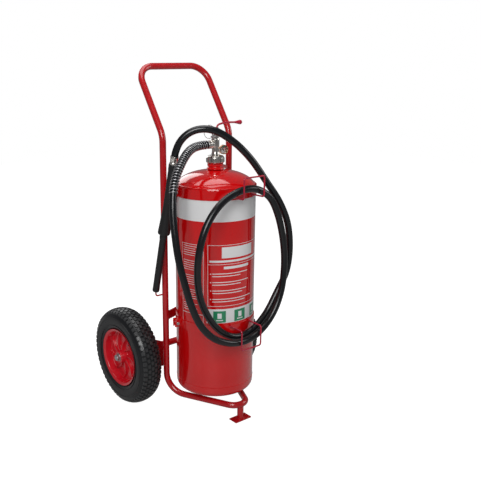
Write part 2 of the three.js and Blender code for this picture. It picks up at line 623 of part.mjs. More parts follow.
function buildGun() {
  const gun = new THREE.Group();
  gun.position.copy(GUN_TOP);
  const outward = vec(0.8, -0.6, 0); // the trigger's side
  outward.addScaledVector(GUN_UP, -outward.dot(GUN_UP)).normalize();
  const across = new THREE.Vector3().crossVectors(GUN_UP, outward);
  gun.setRotationFromMatrix(new THREE.Matrix4().makeBasis(outward, across, GUN_UP));
  trolley.add(gun);

  const ferrule = turned([
    [9, -30], [15.5, -30], [15.5, -24], [14.2, -22], [14.2, -8], [15, -6], [15, 0], [9, 0], [9, -30],
  ], 16);
  add('hose_ferrule', ferrule, FINISH.nickel, gun);
  const collar = sleeve(9, 17, -53, -30.3, 16);
  add('gun_collar', collar, FINISH.plastic, gun);
  add('gun_grip', sleeve(9, 16.5, -175, -53.3, 16), FINISH.rubber, gun);

  const casting = turned([
    [9, -305], [22, -305], [23.5, -300], [21, -262], [17, -200], [16.5, -175.3], [9, -175.3], [9, -305],
  ], 16);
  const lug = block(10, 27, -8, 8, -TRIGGER_PIVOT - 11, -TRIGGER_PIVOT + 9);
  const lugSlot = block(16.8, 40, -4.2, 4.2, -TRIGGER_PIVOT - 16, -TRIGGER_PIVOT + 14);
  const bore = rod(9, -310, -170, 16);
  const pivot = vec(TRIGGER_OFFSET, 0, -TRIGGER_PIVOT);
  const pinHole = aim(rod(SMALL_PIN_R + GAP, -30, 30, 12), vec(0, 1, 0), pivot);
  add('gun_body', shaped(casting, [lug], [lugSlot, bore, pinHole]), FINISH.plastic, gun);

  const eye = aim(rod(4.6, -3.8, 3.8, 16), vec(0, 1, 0), pivot);
  const line = [pivot, vec(29, 0, -TRIGGER_PIVOT - 16), vec(41, 0, -302)];
  const lever = bentTube(line, [14], 3.8, 8, 0.3);
  add('gun_trigger', shaped(eye, [lever], [pinHole]), FINISH.plastic, gun);
  const pin = turned([[0, -11], [4.2, -11], [4.2, -8.5], [SMALL_PIN_R, -8.5], [SMALL_PIN_R, 10.5], [0, 10.5]], 12);
  add('trigger_pin', aim(pin, vec(0, 1, 0), pivot), FINISH.steel, gun);

  const mouth = -GUN_LENGTH;
  const nozzle = turned([
    [9.5, mouth], [13, mouth], [13.8, mouth + 4], [13.5, mouth + 30], [13, -330], [14.5, -320], [14.5, -305.3],
    [9.5, -305.3], [9.5, mouth],
  ], 16);
  add('gun_nozzle', nozzle, FINISH.plastic, gun);
}

buildFrame();
buildAxle();
buildWheel('left', -1);
buildWheel('right', 1);
buildClamps();
buildHooks();
buildCylinder();
buildValve();
buildGauge();
buildHose();
buildGun();

// The part's origin is on the floor under the middle of its footprint.
const frontmost = HOOK_Y - WIRE_R;
const rearmost = WHEEL_Y + WHEEL_R;
trolley.position.y = -(frontmost + rearmost) / 2;
const extinguisher = new THREE.Group();
extinguisher.add(trolley);

export default extinguisher;
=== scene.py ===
"""Looks of the wheeled fire extinguisher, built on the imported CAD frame.

Shapes are written in millimetres from the cylinder's axis, with the front at -Y, and are moved into the row
frame when they are built."""
import json
import math
import random

import bmesh
import bpy
from mathutils import Matrix, Vector


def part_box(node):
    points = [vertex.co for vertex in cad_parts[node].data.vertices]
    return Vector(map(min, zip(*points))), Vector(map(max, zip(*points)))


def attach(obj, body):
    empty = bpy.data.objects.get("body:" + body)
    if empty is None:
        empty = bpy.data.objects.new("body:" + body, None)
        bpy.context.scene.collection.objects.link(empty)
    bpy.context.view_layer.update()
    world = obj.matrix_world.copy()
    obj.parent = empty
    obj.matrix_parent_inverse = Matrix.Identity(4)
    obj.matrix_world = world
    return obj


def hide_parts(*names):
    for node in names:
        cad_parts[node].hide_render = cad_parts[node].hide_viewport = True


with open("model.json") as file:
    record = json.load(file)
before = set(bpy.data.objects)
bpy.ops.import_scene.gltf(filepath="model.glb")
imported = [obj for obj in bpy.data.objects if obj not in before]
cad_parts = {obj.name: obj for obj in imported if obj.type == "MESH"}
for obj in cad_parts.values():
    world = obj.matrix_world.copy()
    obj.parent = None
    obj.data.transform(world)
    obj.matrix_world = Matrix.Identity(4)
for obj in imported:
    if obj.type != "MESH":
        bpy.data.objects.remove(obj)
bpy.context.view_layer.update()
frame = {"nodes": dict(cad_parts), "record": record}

MM = 0.001
SHELL_LOW, SHELL_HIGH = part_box("cylinder_shell")
AXIS_Y = (SHELL_LOW.y + SHELL_HIGH.y) / 2
TAU = 2 * math.pi

TUBE_R = 12.5
RAIL_X = 161
RAIL_Y = 110.8
SHELL_R = 153.5
WHEEL_X = 257
WHEEL_Y = 254
WHEEL_R = 200
HOSE_R = 13
GUARD_LENGTH = 310


def row(point):
    """A point in millimetres from the cylinder's axis, as metres in the row frame."""
    return Vector((point[0] * MM, point[1] * MM + AXIS_Y, point[2] * MM))


# ---------------------------------------------------------------- camera

def set_camera():
    yaw = math.radians(-37.104)
    pitch = math.radians(16.208)
    roll = math.radians(-0.43)
    level = Vector((math.cos(yaw), math.sin(yaw), 0))
    back = Vector((math.sin(yaw) * math.cos(pitch), -math.cos(yaw) * math.cos(pitch), math.sin(pitch)))
    upright = back.cross(level)
    right = level * math.cos(roll) + upright * math.sin(roll)
    up = upright * math.cos(roll) - level * math.sin(roll)
    data = bpy.data.cameras.new("camera")
    data.lens = 49.25
    data.sensor_width = 36
    data.sensor_fit = "AUTO"
    data.shift_x = 0.105
    data.shift_y = 0.0216
    data.dof.use_dof = False
    camera = bpy.data.objects.new("camera", data)
    turn = Matrix((right, up, back)).transposed().to_4x4()
    camera.matrix_world = Matrix.Translation((-1.62985, -2.09741, 1.36090)) @ turn
    bpy.context.collection.objects.link(camera)
    bpy.context.scene.camera = camera


# ---------------------------------------------------------------- materials

def surface(name, colour, roughness, metallic=0.0, coat=0.0, mottle=0.12, wear=0.0, grain=900, bump=0.08):
    """Paint, metal, plastic or rubber: mottled colour, uneven gloss, fine grain and, if asked, worn edges."""
    material = bpy.data.materials.new(name)
    material.use_nodes = True
    nodes = material.node_tree.nodes
    link = material.node_tree.links.new
    shader = nodes["Principled BSDF"]
    shader.inputs["Metallic"].default_value = metallic
    shader.inputs["Coat Weight"].default_value = coat
    shader.inputs["Coat Roughness"].default_value = 0.05
    where = nodes.new("ShaderNodeTexCoord")

    def noise(scale, detail):
        node = nodes.new("ShaderNodeTexNoise")
        node.inputs["Scale"].default_value = scale
        node.inputs["Detail"].default_value = detail
        link(where.outputs["Object"], node.inputs["Vector"])
        return node.outputs["Fac"]

    def blend(factor, first, second):
        node = nodes.new("ShaderNodeMix")
        node.data_type = "RGBA"
        link(factor, node.inputs["Factor"])
        for socket, value in ((node.inputs["A"], first), (node.inputs["B"], second)):
            if isinstance(value, tuple):
                socket.default_value = (*value, 1)
            else:
                link(value, socket)
        return node.outputs["Result"]

    darker = tuple(c * (1 - mottle) for c in colour)
    lighter = tuple(min(1, c * (1 + mottle)) for c in colour)
    paint = blend(noise(14, 5), darker, lighter)
    if wear:
        edge = nodes.new("ShaderNodeNewGeometry")
        worn = nodes.new("ShaderNodeMapRange")
        worn.inputs["From Min"].default_value = 0.6
        worn.inputs["From Max"].default_value = 0.75
        worn.inputs["To Max"].default_value = wear
        link(edge.outputs["Pointiness"], worn.inputs["Value"])
        paint = blend(worn.outputs["Result"], paint, tuple(min(1, c * 1.3 + 0.12) for c in colour))
    link(paint, shader.inputs["Base Color"])
    gloss = nodes.new("ShaderNodeMapRange")
    gloss.inputs["To Min"].default_value = roughness * 0.8
    gloss.inputs["To Max"].default_value = min(1, roughness * 1.25)
    link(noise(38, 4), gloss.inputs["Value"])
    link(gloss.outputs["Result"], shader.inputs["Roughness"])
    relief = nodes.new("ShaderNodeBump")
    relief.inputs["Strength"].default_value = bump
    relief.inputs["Distance"].default_value = 0.0004
    link(noise(grain, 2), relief.inputs["Height"])
    link(relief.outputs["Normal"], shader.inputs["Normal"])
    return material


def clear_lens():
    material = surface("lens_glass", (0.95, 0.97, 0.98), 0.04, mottle=0.01, bump=0.01)
    shader = material.node_tree.nodes["Principled BSDF"]
    shader.inputs["Transmission Weight"].default_value = 1.0
    shader.inputs["IOR"].default_value = 1.1
    return material


FINISHES = {
    "frame_paint": surface("frame_paint", (0.5, 0.003, 0.007), 0.22, coat=0.5, wear=0.3, bump=0.06),
    "shell_paint": surface(
        "shell_paint", (0.7, 0.0012, 0.0025), 0.11, coat=0.8, mottle=0.05, grain=500, bump=0.03,
    ),
    "hook_paint": surface("hook_paint", (0.46, 0.008, 0.035), 0.28, coat=0.4, wear=0.3),
    "steel": surface("steel", (0.58, 0.58, 0.59), 0.3, metallic=1, wear=0.2),
    "nickel": surface("nickel", (0.76, 0.73, 0.68), 0.18, metallic=1, mottle=0.08),
    "brass": surface("brass", (0.6, 0.36, 0.22), 0.28, metallic=1),
    "dial_face": surface("dial_face", (0.86, 0.76, 0.74), 0.55, mottle=0.04),
    "lens_glass": clear_lens(),
    "guard_steel": surface("guard_steel", (0.42, 0.42, 0.43), 0.3, metallic=1),
    "hose_rubber": surface("hose_rubber", (0.005, 0.0055, 0.007), 0.22, mottle=0.25, bump=0.12),
    "grip_rubber": surface("grip_rubber", (0.009, 0.009, 0.01), 0.5, mottle=0.25, bump=0.25),
    "black_plastic": surface("black_plastic", (0.009, 0.009, 0.0095), 0.42, mottle=0.2, bump=0.2),
    "seal_rubber": surface("seal_rubber", (0.02, 0.02, 0.02), 0.6, mottle=0.2),
    "tyre_rubber": surface("tyre_rubber", (0.006, 0.0065, 0.008), 0.29, mottle=0.3, wear=0.35, bump=0.25),
    "rim_plastic": surface("rim_plastic", (0.68, 0.008, 0.02), 0.22, coat=0.6, mottle=0.07, wear=0.25),
    "white_print": surface("white_print", (0.88, 0.88, 0.88), 0.32, coat=0.5, mottle=0.03, bump=0.03),
    "green_print": surface("green_print", (0.02, 0.27, 0.12), 0.32, coat=0.5, mottle=0.06, bump=0.03),
    "red_print": surface("red_print", (0.6, 0.01, 0.01), 0.4, mottle=0.05, bump=0.03),
}


# ---------------------------------------------------------------- shapes: (points, faces)

def joined(*shapes):
    points, faces = [], []
    for more_points, more_faces in shapes:
        start = len(points)
        points += more_points
        faces += [tuple(start + i for i in face) for face in more_faces]
    return points, faces


def bent(corners, radii, closed=False, steps=12):
    """A line through corners, each rounded to its radius."""
    corners = [Vector(c) for c in corners]
    line = []
    last = len(corners) - 1
    for i, corner in enumerate(corners):
        if not closed and i in (0, last):
            line.append(corner)
            continue
        to_before = (corners[i - 1] - corner).normalized()
        to_after = (corners[(i + 1) % len(corners)] - corner).normalized()
        half = to_before.angle(to_after) / 2
        radius = radii[i]
        centre = corner + (to_before + to_after).normalized() * radius / math.sin(half)
        start = (corner + to_before * radius / math.tan(half) - centre).normalized()
        end = (corner + to_after * radius / math.tan(half) - centre).normalized()
        for step in range(steps + 1):
            line.append(centre + start.slerp(end, step / steps) * radius)
    return line


def finer(line, step, closed=False):
    """The same line with a point at least every step, so that long straights carry their frame evenly."""
    ends = line[1:] + ([line[0]] if closed else [])
    result = []
    for a, b in zip(line, ends):
        pieces = max(1, math.ceil((b - a).length / step))
        result += [a.lerp(b, k / pieces) for k in range(pieces)]
    return result if closed else result + [line[-1]]


def smooth_route(points, steps=10):
    """Centripetal Catmull-Rom curve through the points."""
    points = [Vector(p) for p in points]
    padded = [2 * points[0] - points[1]] + points + [2 * points[-1] - points[-2]]
    line = []
    for p0, p1, p2, p3 in zip(padded, padded[1:], padded[2:], padded[3:]):
        d0, d1, d2 = math.sqrt((p1 - p0).length), math.sqrt((p2 - p1).length), math.sqrt((p3 - p2).length)
        leave = ((p1 - p0) / d0 - (p2 - p0) / (d0 + d1) + (p2 - p1) / d1) * d1
        reach = ((p2 - p1) / d1 - (p3 - p1) / (d1 + d2) + (p3 - p2) / d2) * d1
        for k in range(steps):
            t = k / steps
            cubic = (2 * p1 - 2 * p2 + leave + reach) * t ** 3
            square = (3 * p2 - 3 * p1 - 2 * leave - reach) * t ** 2
            line.append(cubic + square + leave * t + p1)
    line.append(points[-1])
    return line


def carried(points, closed=False):
    """A frame (point, side, other side) at every point, carried along without twist."""
    count = len(points)
    frames = []
    side = None
    for i, point in enumerate(points):
        before = points[i - 1] if closed or i > 0 else point
        after = points[(i + 1) % count] if closed or i < count - 1 else point
        ahead = (after - before).normalized()
        side = ahead.orthogonal() if side is None else side
        side = (side - ahead * side.dot(ahead)).normalized()
        frames.append((point, side, ahead.cross(side)))
    if closed:
        first, last = frames[0], frames[-1]
        slip = math.atan2(first[1].dot(last[2]), first[1].dot(last[1]))
        for i, (point, side, other) in enumerate(frames):
            a = slip * i / count
            turned_side = side * math.cos(a) + other * math.sin(a)
            frames[i] = (point, turned_side, other * math.cos(a) - side * math.sin(a))
    return frames


def swept(points, radius, sides=20, closed=False):
    """A round tube along points. radius is a number, or a function of the share of the way along."""
    frames = carried(points, closed)
    count = len(frames)
    made = []
    for i, (point, side, other) in enumerate(frames):
        r = radius(i / (count - 1)) if callable(radius) else radius
        for k in range(sides):
            a = TAU * k / sides
            made.append(point + (side * math.cos(a) + other * math.sin(a)) * r)
    faces = []
    for i in range(count if closed else count - 1):
        here, there = i * sides, (i + 1) % count * sides
        for k in range(sides):
            after = (k + 1) % sides
            faces.append((here + k, here + after, there + after, there + k))
    if not closed:
        faces.append(tuple(range(sides)))
        faces.append(tuple(range((count - 1) * sides, count * sides)))
    return made, faces


def softened(outline, radius):
    """A closed (r, z) outline with its corners rounded, less where its edges are short."""
    corners = [Vector((r, z, 0)) for r, z in outline]
    line = []
    for i, corner in enumerate(corners):
        before, after = corners[i - 1], corners[(i + 1) % len(corners)]
        reach = min(radius, (before - corner).length * 0.4, (after - corner).length * 0.4)
        start = corner + (before - corner).normalized() * reach
        end = corner + (after - corner).normalized() * reach
        if corner.x < 0.01:
            line.append(corner)
            continue
        for t in (0, 0.33, 0.67, 1):
            line.append(start.lerp(corner, t).lerp(corner.lerp(end, t), t))
    return [(p.x, p.y) for p in line]


def turned(outline, segments=64, soften=0.0):
    """A closed (r, z) outline turned round Z."""
    outline = softened(outline, soften) if soften else outline
    count = len(outline)
    points = []
    for k in range(segments):
        a = TAU * k / segments
        points += [Vector((r * math.cos(a), r * math.sin(a), z)) for r, z in outline]
    faces = []
    for k in range(segments):
        here, there = k * count, (k + 1) % segments * count
        for i in range(count):
            after = (i + 1) % count
            faces.append((here + i, there + i, there + after, here + after))
    return points, faces


def prism(outline, low, high):
    """An (x, y) outline raised from z low to z high."""
    count = len(outline)
    points = [Vector((x, y, low)) for x, y in outline] + [Vector((x, y, high)) for x, y in outline]
    faces = [(i, (i + 1) % count, (i + 1) % count + count, i + count) for i in range(count)]
    return points, faces + [tuple(range(count)), tuple(range(count, 2 * count))]


def hexagon(across_flats):
    r = across_flats / math.sqrt(3)
    return [(r * math.cos(TAU * k / 6), r * math.sin(TAU * k / 6)) for k in range(6)]


def framed(shape, x_axis, z_axis, origin):
    """A shape moved so that its X and Z lie along the given directions."""
    z = Vector(z_axis).normalized()
    x = Vector(x_axis)
    x = (x - z * x.dot(z)).normalized()
    y = z.cross(x)
    return [Vector(origin) + x * p.x + y * p.y + z * p.z for p in shape[0]], shape[1]


def aimed(shape, direction, origin=(0, 0, 0)):
    return framed(shape, Vector(direction).orthogonal(), direction, origin)


def build(name, shape, finish, body="trolley", stands_for=(), sharp=38, bevel=0.0):
    mesh = bpy.data.meshes.new(name)
    mesh.from_pydata([row(p) for p in shape[0]], [], shape[1])
    work = bmesh.new()
    work.from_mesh(mesh)
    bmesh.ops.remove_doubles(work, verts=work.verts, dist=0.00001)
    bmesh.ops.recalc_face_normals(work, faces=work.faces)
    work.to_mesh(mesh)
    work.free()
    mesh.shade_smooth()
    mesh.set_sharp_from_angle(angle=math.radians(sharp))
    mesh.materials.append(FINISHES[finish])
    obj = bpy.data.objects.new(name, mesh)
    bpy.context.collection.objects.link(obj)
    if bevel:
        rounding = obj.modifiers.new("rounding", "BEVEL")
        rounding.width = bevel * MM
        rounding.segments = 2
        rounding.limit_method = "ANGLE"
    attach(obj, body)
    if stands_for:
        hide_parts(*stands_for)
    return obj


def bead(points, radius=2.2, closed=False):
    """A weld bead with its ripples."""
    line = finer([Vector(p) for p in points], 1.2, closed)
    count = len(line)
    return swept(line, lambda t: radius * (1 + 0.14 * math.sin(t * count * 1.9)), 8, closed)


def ring_line(radius, z, centre=(0, 0), steps=96):
    turns = [TAU * k / steps for k in range(steps)]
    return [Vector((centre[0] + radius * math.cos(a), centre[1] + radius * math.sin(a), z)) for a in turns]


# ---------------------------------------------------------------- trolley

def make_frame():
    corners = [
        (-RAIL_X, RAIL_Y, 65), (0, -230, 65), (RAIL_X, RAIL_Y, 65), (RAIL_X, RAIL_Y, 1100),
        (RAIL_X, 273.7, 1346), (-RAIL_X, 273.7, 1346), (-RAIL_X, RAIL_Y, 1100),
    ]
    radii = [80, 48, 80, 90, 68, 68, 90]
    line = finer(bent(corners, radii, closed=True, steps=16), 30, closed=True)
    parts = ("handle_bow", "rail_left", "rail_right", "base_bow")
    build("trolley_tube", swept(line, TUBE_R, 28, closed=True), "frame_paint", stands_for=parts)
    post = swept([Vector((0, -162, z)) for z in (5.3, 20, 40, 65)], TUBE_R, 28)
    build("foot_post_tube", post, "frame_paint", stands_for=["foot_post"])
    foot = prism([(-40, -183), (40, -183), (40, -141), (-40, -141)], 0, 5)
    build("foot_plate_sheet", foot, "frame_paint", stands_for=["foot_plate"], bevel=1.2)
    welds = [bead(ring_line(13.5, 6.2, (0, -162), 32), 2, closed=True)]
    for side in (-1, 1):
        front = RAIL_Y + TUBE_R
        welds.append(bead([(side * RAIL_X - 4, front, 190), (side * RAIL_X - 4, front, 272)]))
        welds.append(bead([(side * RAIL_X + 4, front, 190), (side * RAIL_X + 4, front, 272)]))
        for z in (368.5, 407.5, 881.5, 920.5):
            welds.append(bead([(side * 150, 113, z), (side * 142, 116, z)], 1.8))
    build("frame_welds", joined(*welds), "frame_paint")


def bracket_outline():
    """The plate from a rail to the axle, in (y, z)."""
    front = RAIL_Y + TUBE_R + 0.3
    line = [(front, 276), (WHEEL_Y - 60, 262)]
    for k in range(13):
        a = 0.9 - 3.0 * k / 12
        line.append((WHEEL_Y + 27 * math.cos(a), WHEEL_R + 27 * math.sin(a)))
    for k in range(9):
        a = -math.pi / 2 - math.pi / 2 * k / 8
        line.append((front + 24 + 24 * math.cos(a), 186 + 24 * math.sin(a)))
    return line


def make_axle():
    for side, word in ((-1, "left"), (1, "right")):
        plate = framed(prism(bracket_outline(), -3, 3), (0, 1, 0), (1, 0, 0), (side * RAIL_X, 0, 0))
        build(f"bracket_{word}", plate, "frame_paint", stands_for=[f"axle_bracket_{word}"], bevel=1)
        hub = (side * WHEEL_X, WHEEL_Y, WHEEL_R)
        outward = (side, 0, 0)
        washer = turned([(8.3, 44.3), (15, 44.3), (15, 46.5), (8.3, 46.5)], 48, 0.5)
        nut = joined(prism(hexagon(24), 46.8, 54.8), turned([(0, 54.8), (9, 54.8), (8, 55.6), (0, 55.6)], 32))
        spacer = turned([(8.3, -86.7), (12.5, -86.7), (12.5, -42.3), (8.3, -42.3)], 40, 0.6)
        bearing = turned([(8.1, -42), (16, -42), (16, 44), (8.1, 44)], 48, 0.6)
        for name, shape in (("washer", washer), ("nut", nut), ("spacer", spacer)):
            replaced = [f"axle_{name}_{word}"]
            build(f"{name}_{word}", aimed(shape, outward, hub), "steel", stands_for=replaced, bevel=0.5)
        bearing = aimed(bearing, outward, hub)
        build(f"bearing_{word}", bearing, "steel", f"wheel_{word}", [f"hub_bearing_{word}"])
    rod = turned([(0, -315), (7, -315), (8, -314), (8, 314), (7, 315), (0, 315)], 40)
    build("axle_rod", aimed(rod, (1, 0, 0), (0, WHEEL_Y, WHEEL_R)), "steel", stands_for=["axle"])
    pipe = turned([(8.3, -170), (14, -170), (14, 170), (8.3, 170)], 40, 0.5)
    build("axle_pipe", aimed(pipe, (1, 0, 0), (0, WHEEL_Y, WHEEL_R)), "frame_paint", stands_for=["axle_tube"])


def crown(outboard):
    """The tread's radius at a distance from the wheel's middle."""
    return WHEEL_R - 8 * (abs(outboard) / 34) ** 2.4


def tread_block(angle, outboard):
    half_turn = 8.2 / WHEEL_R
    half_width = 5.8
    points = []
    for sunk, shrink in ((6.5, 1.0), (0.4, 0.88)):
        for turn, over in ((-1, -1), (1, -1), (1, 1), (-1, 1)):
            a = angle + turn * half_turn * shrink
            o = outboard + over * half_width * shrink
            r = crown(o) - sunk
            points.append(Vector((r * math.cos(a), r * math.sin(a), o)))
    sides = [(i, (i + 1) % 4, (i + 1) % 4 + 4, i + 4) for i in range(4)]
    return points, sides + [(0, 1, 2, 3), (4, 5, 6, 7)]


def rib(start, swirl, inner, outer, base, tops, widths):
    """An upright rib on the rim's web, from the hub to the lip."""
    steps = 14
    points = []
    for k in range(steps + 1):
        t = k / steps
        r = inner + (outer - inner) * t
        a = start + swirl * t
        half = (widths[0] + (widths[1] - widths[0]) * t) / 2 / r
        top = tops[0] + (tops[1] - tops[0]) * t
        for turn, z in ((-half, base), (half, base), (half * 0.7, top), (-half * 0.7, top)):
            points.append(Vector((r * math.cos(a + turn), r * math.sin(a + turn), z)))
    faces = [(0, 1, 2, 3), tuple(range(4 * steps, 4 * steps + 4))]
    for k in range(steps):
        for i in range(4):
            after = (i + 1) % 4
            faces.append((4 * k + i, 4 * k + after, 4 * k + 4 + after, 4 * k + 4 + i))
    return points, faces


def make_wheel(side, word):
    body = f"wheel_{word}"

    def on_hub(shape):
        return framed(shape, (0, 1, 0), (side, 0, 0), (side * WHEEL_X, WHEEL_Y, WHEEL_R))

    half = [(117, 36), (124, 43), (150, 48.5), (174, 45), (189, 32), (195, 14), (195.8, 0)]
    outline = smooth_route([(r, z, 0) for r, z in half + [(r, -z) for r, z in half[-2::-1]]], 6)
    carcass = turned([(p.x, p.y) for p in outline], 112)
    blocks = []
    for place, outboard in enumerate((-35, -21, -7, 7, 21, 35)):
        for k in range(56):
            blocks.append(tread_block(TAU * (k + 0.5 * (place % 2)) / 56, outboard))
    lines = [turned([(r, 46), (r + 2, 46), (r + 1.5, 49), (r + 0.5, 49)], 112) for r in (134, 164)]
    tyre = joined(carcass, *blocks, *lines)
    build(f"tyre_{word}_treaded", on_hub(tyre), "tyre_rubber", body, [f"tyre_{word}"], sharp=32)

    profile = [
        (16.3, -42), (24, -42), (26, -8), (105, -2), (108, -40), (118.5, -46), (115, -38), (113, -28),
        (113, 28), (115, 38), (119.5, 46), (108, 41), (104, 12), (30, 14), (24, 44), (16.3, 44),
    ]
    swirl = math.radians(35)
    ribs = [rib(TAU * k / 9, swirl * side, 27, 103, 11, (26, 20), (7, 3)) for k in range(9)]
    ribs += [rib(TAU * k / 9, 0, 27, 104, -2, (-20, -14), (5, 3)) for k in range(9)]
    shape = joined(turned(profile, 112, 2.2), *ribs)
    build(f"rim_{word}_ribbed", on_hub(shape), "rim_plastic", body, [f"rim_{word}"], sharp=40)

    a = 2.3 * side
    stem = turned([(0, 8), (4, 8), (4, 26), (3, 27), (3, 36), (0, 36)], 24, 0.4)
    stem = [p + Vector((95 * math.cos(a), 95 * math.sin(a), 0)) for p in stem[0]], stem[1]
    build(f"valve_stem_{word}", on_hub(stem), "black_plastic", body, [f"tyre_valve_{word}"])


# ---------------------------------------------------------------- cylinder

BASE_Z = 100
BASE_BEND = 26
SHOULDER_Z = 905
DOME_HEIGHT = 69
NECK_R = 24


def make_cylinder():
    outline = [(0, BASE_Z)]
    for k in range(9):
        a = -math.pi / 2 + math.pi / 2 * k / 8
        r = SHELL_R - BASE_BEND + BASE_BEND * math.cos(a)
        outline.append((r, BASE_Z + BASE_BEND + BASE_BEND * math.sin(a)))
    last = math.acos(NECK_R / SHELL_R)
    for k in range(25):
        a = last * k / 24
        outline.append((SHELL_R * math.cos(a), SHOULDER_Z + DOME_HEIGHT * math.sin(a)))
    outline += [(NECK_R, 960), (0, 960)]
    build("cylinder_skin", turned(outline, 160), "shell_paint", stands_for=["cylinder_shell"], sharp=50)
    base_seam = bead(ring_line(SHELL_R - 0.5, 144, steps=180), 1.5, closed=True)
    dome_edge = swept(ring_line(148.4, 922.5, steps=180), 2.6, 12, closed=True)
    upright = math.radians(-107)
    mark = [(153.2 * math.cos(upright), 153.2 * math.sin(upright), z) for z in (747, 784)]
    build("shell_seams", joined(base_seam, dome_edge, bead(mark, 1.1)), "shell_paint")


def arc_plate(inner, outer, start, end, low, high, steps=120):
    points = []
    for k in range(steps + 1):
        a = start + (end - start) * k / steps
        for r, z in ((inner, low), (outer, low), (outer, high), (inner, high)):
            points.append(Vector((r * math.cos(a), r * math.sin(a), z)))
    faces = [(0, 1, 2, 3), tuple(range(4 * steps, 4 * steps + 4))]
    for k in range(steps):
        for i in range(4):
            after = (i + 1) % 4
            faces.append((4 * k + i, 4 * k + after, 4 * k + 4 + after, 4 * k + 4 + i))
    return points, faces


def saddle_shape(low, high):
    """A strap that cradles the cylinder's back and runs straight to both rails."""
    tangent = math.radians(71)

    def edge(r):
        reach = (148.2 - r * math.cos(tangent)) / math.sin(tangent)
        x = r * math.cos(tangent) + reach * math.sin(tangent)
        y = r * math.sin(tangent) - reach * math.cos(tangent)
        turns = [tangent + (math.pi - 2 * tangent) * k / 24 for k in range(25)]
        return [(x, y), *((r * math.cos(a), r * math.sin(a)) for a in turns), (-x, y)]

    inner, outer = edge(156.6), edge(161.6)
    return prism(inner + outer[::-1], low, high)


SLIT_ANGLE = math.radians(168)  # where each clamp band is open
SLIT_HALF = 0.045
EAR_EDGE = 0.058
BOLT_CIRCLE_R = 168.3


def make_clamps():
    for word in ("lower", "upper"):
        low, high = (corner.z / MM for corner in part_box(f"clamp_band_{word}"))
        band = arc_plate(153.9, 156.3, SLIT_ANGLE + SLIT_HALF, SLIT_ANGLE + TAU - SLIT_HALF, low, high, 180)
        ears = []
        for turn in (-1, 1):
            start = SLIT_ANGLE + turn * SLIT_HALF
            end = SLIT_ANGLE + turn * EAR_EDGE
            ears.append(arc_plate(154.5, 178, start, end, low + 2, high - 2, 2))
        build(f"band_{word}", joined(band, *ears), "shell_paint", stands_for=[f"clamp_band_{word}"])
        low, high = (corner.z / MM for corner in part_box(f"saddle_{word}"))
        saddle = saddle_shape(low, high)
        build(f"cradle_{word}", saddle, "frame_paint", stands_for=[f"saddle_{word}"], bevel=0.8)
        bolt_low, bolt_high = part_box(f"clamp_bolt_{word}")
        middle = (bolt_low.z + bolt_high.z) / 2 / MM
        along = Vector((-math.sin(SLIT_ANGLE), math.cos(SLIT_ANGLE), 0))
        centre = Vector((BOLT_CIRCLE_R * math.cos(SLIT_ANGLE), BOLT_CIRCLE_R * math.sin(SLIT_ANGLE), middle))
        shank = turned([(0, -13.2), (4, -13.2), (4, 13.2), (0, 13.2)], 24)
        head = prism(hexagon(12), -20.2, -13.2)
        nut = prism(hexagon(11), 13.2, 19.2)
        bolt = aimed(joined(shank, head, nut), along, centre)
        build(f"bolt_{word}", bolt, "steel", stands_for=[f"clamp_bolt_{word}"], bevel=0.5)


def make_rods():
    for word, arm, bar in (("upper", 895, 971), ("lower", 400, 322)):
        corners = [
            (-48, -150.5, arm), (-48, -217.5, arm), (-48, -217.5, bar), (48, -217.5, bar), (48, -217.5, arm),
            (48, -150.5, arm),
        ]
        line = finer(bent(corners, [0, 9, 9, 9, 9, 0]), 6)
        feet = [bead(ring_line(3.4, 0, steps=16), 1.3, closed=True) for _ in (0, 1)]
        feet = [aimed(foot, (0, 1, 0), (x, -154.5, arm)) for foot, x in zip(feet, (-48, 48))]
        build(f"hook_{word}", swept(line, 3, 16), "hook_paint", stands_for=[f"hose_hook_{word}"])
        build(f"hook_{word}_welds", joined(*feet), "hook_paint")
    peg = bent([(-173.8, RAIL_Y, 484), (-206, RAIL_Y, 484), (-206, RAIL_Y, 522)], [0, 9, 0])
    build("peg_rod", swept(finer(peg, 5), 3, 16), "frame_paint", stands_for=["nozzle_peg"])


# ---------------------------------------------------------------- neck, valve and gauge

def make_neck():
    ring = [
        (24, 974.5), (31.5, 974.5), (32.5, 978.5), (30, 982.5), (27.5, 983.5), (27.5, 986.5), (30, 987.5),
        (30, 995.6), (24, 995.6),
    ]
    build("neck_collar", turned(ring, 72, 0.6), "shell_paint", stands_for=["neck_ring"])
    seal = [(25, 995.9), (29, 995.9), (29, 997.7), (25, 997.7)]
    build("neck_gasket", turned(seal, 64, 0.3), "seal_rubber", stands_for=["neck_seal"])
    nut = [
        (15.5, 998), (31, 998), (34.3, 1001), (34.3, 1018), (30, 1024), (22, 1026.5), (15.5, 1026.5),
    ]
    knurls = [
        swept([Vector((34 * math.cos(a), 34 * math.sin(a), z)) for z in (1002, 1010, 1017)], 0.9, 8)
        for a in (TAU * k / 36 for k in range(36))
    ]
    build("neck_union", joined(turned(nut, 72, 0.8), *knurls), "nickel", stands_for=["neck_nut"])


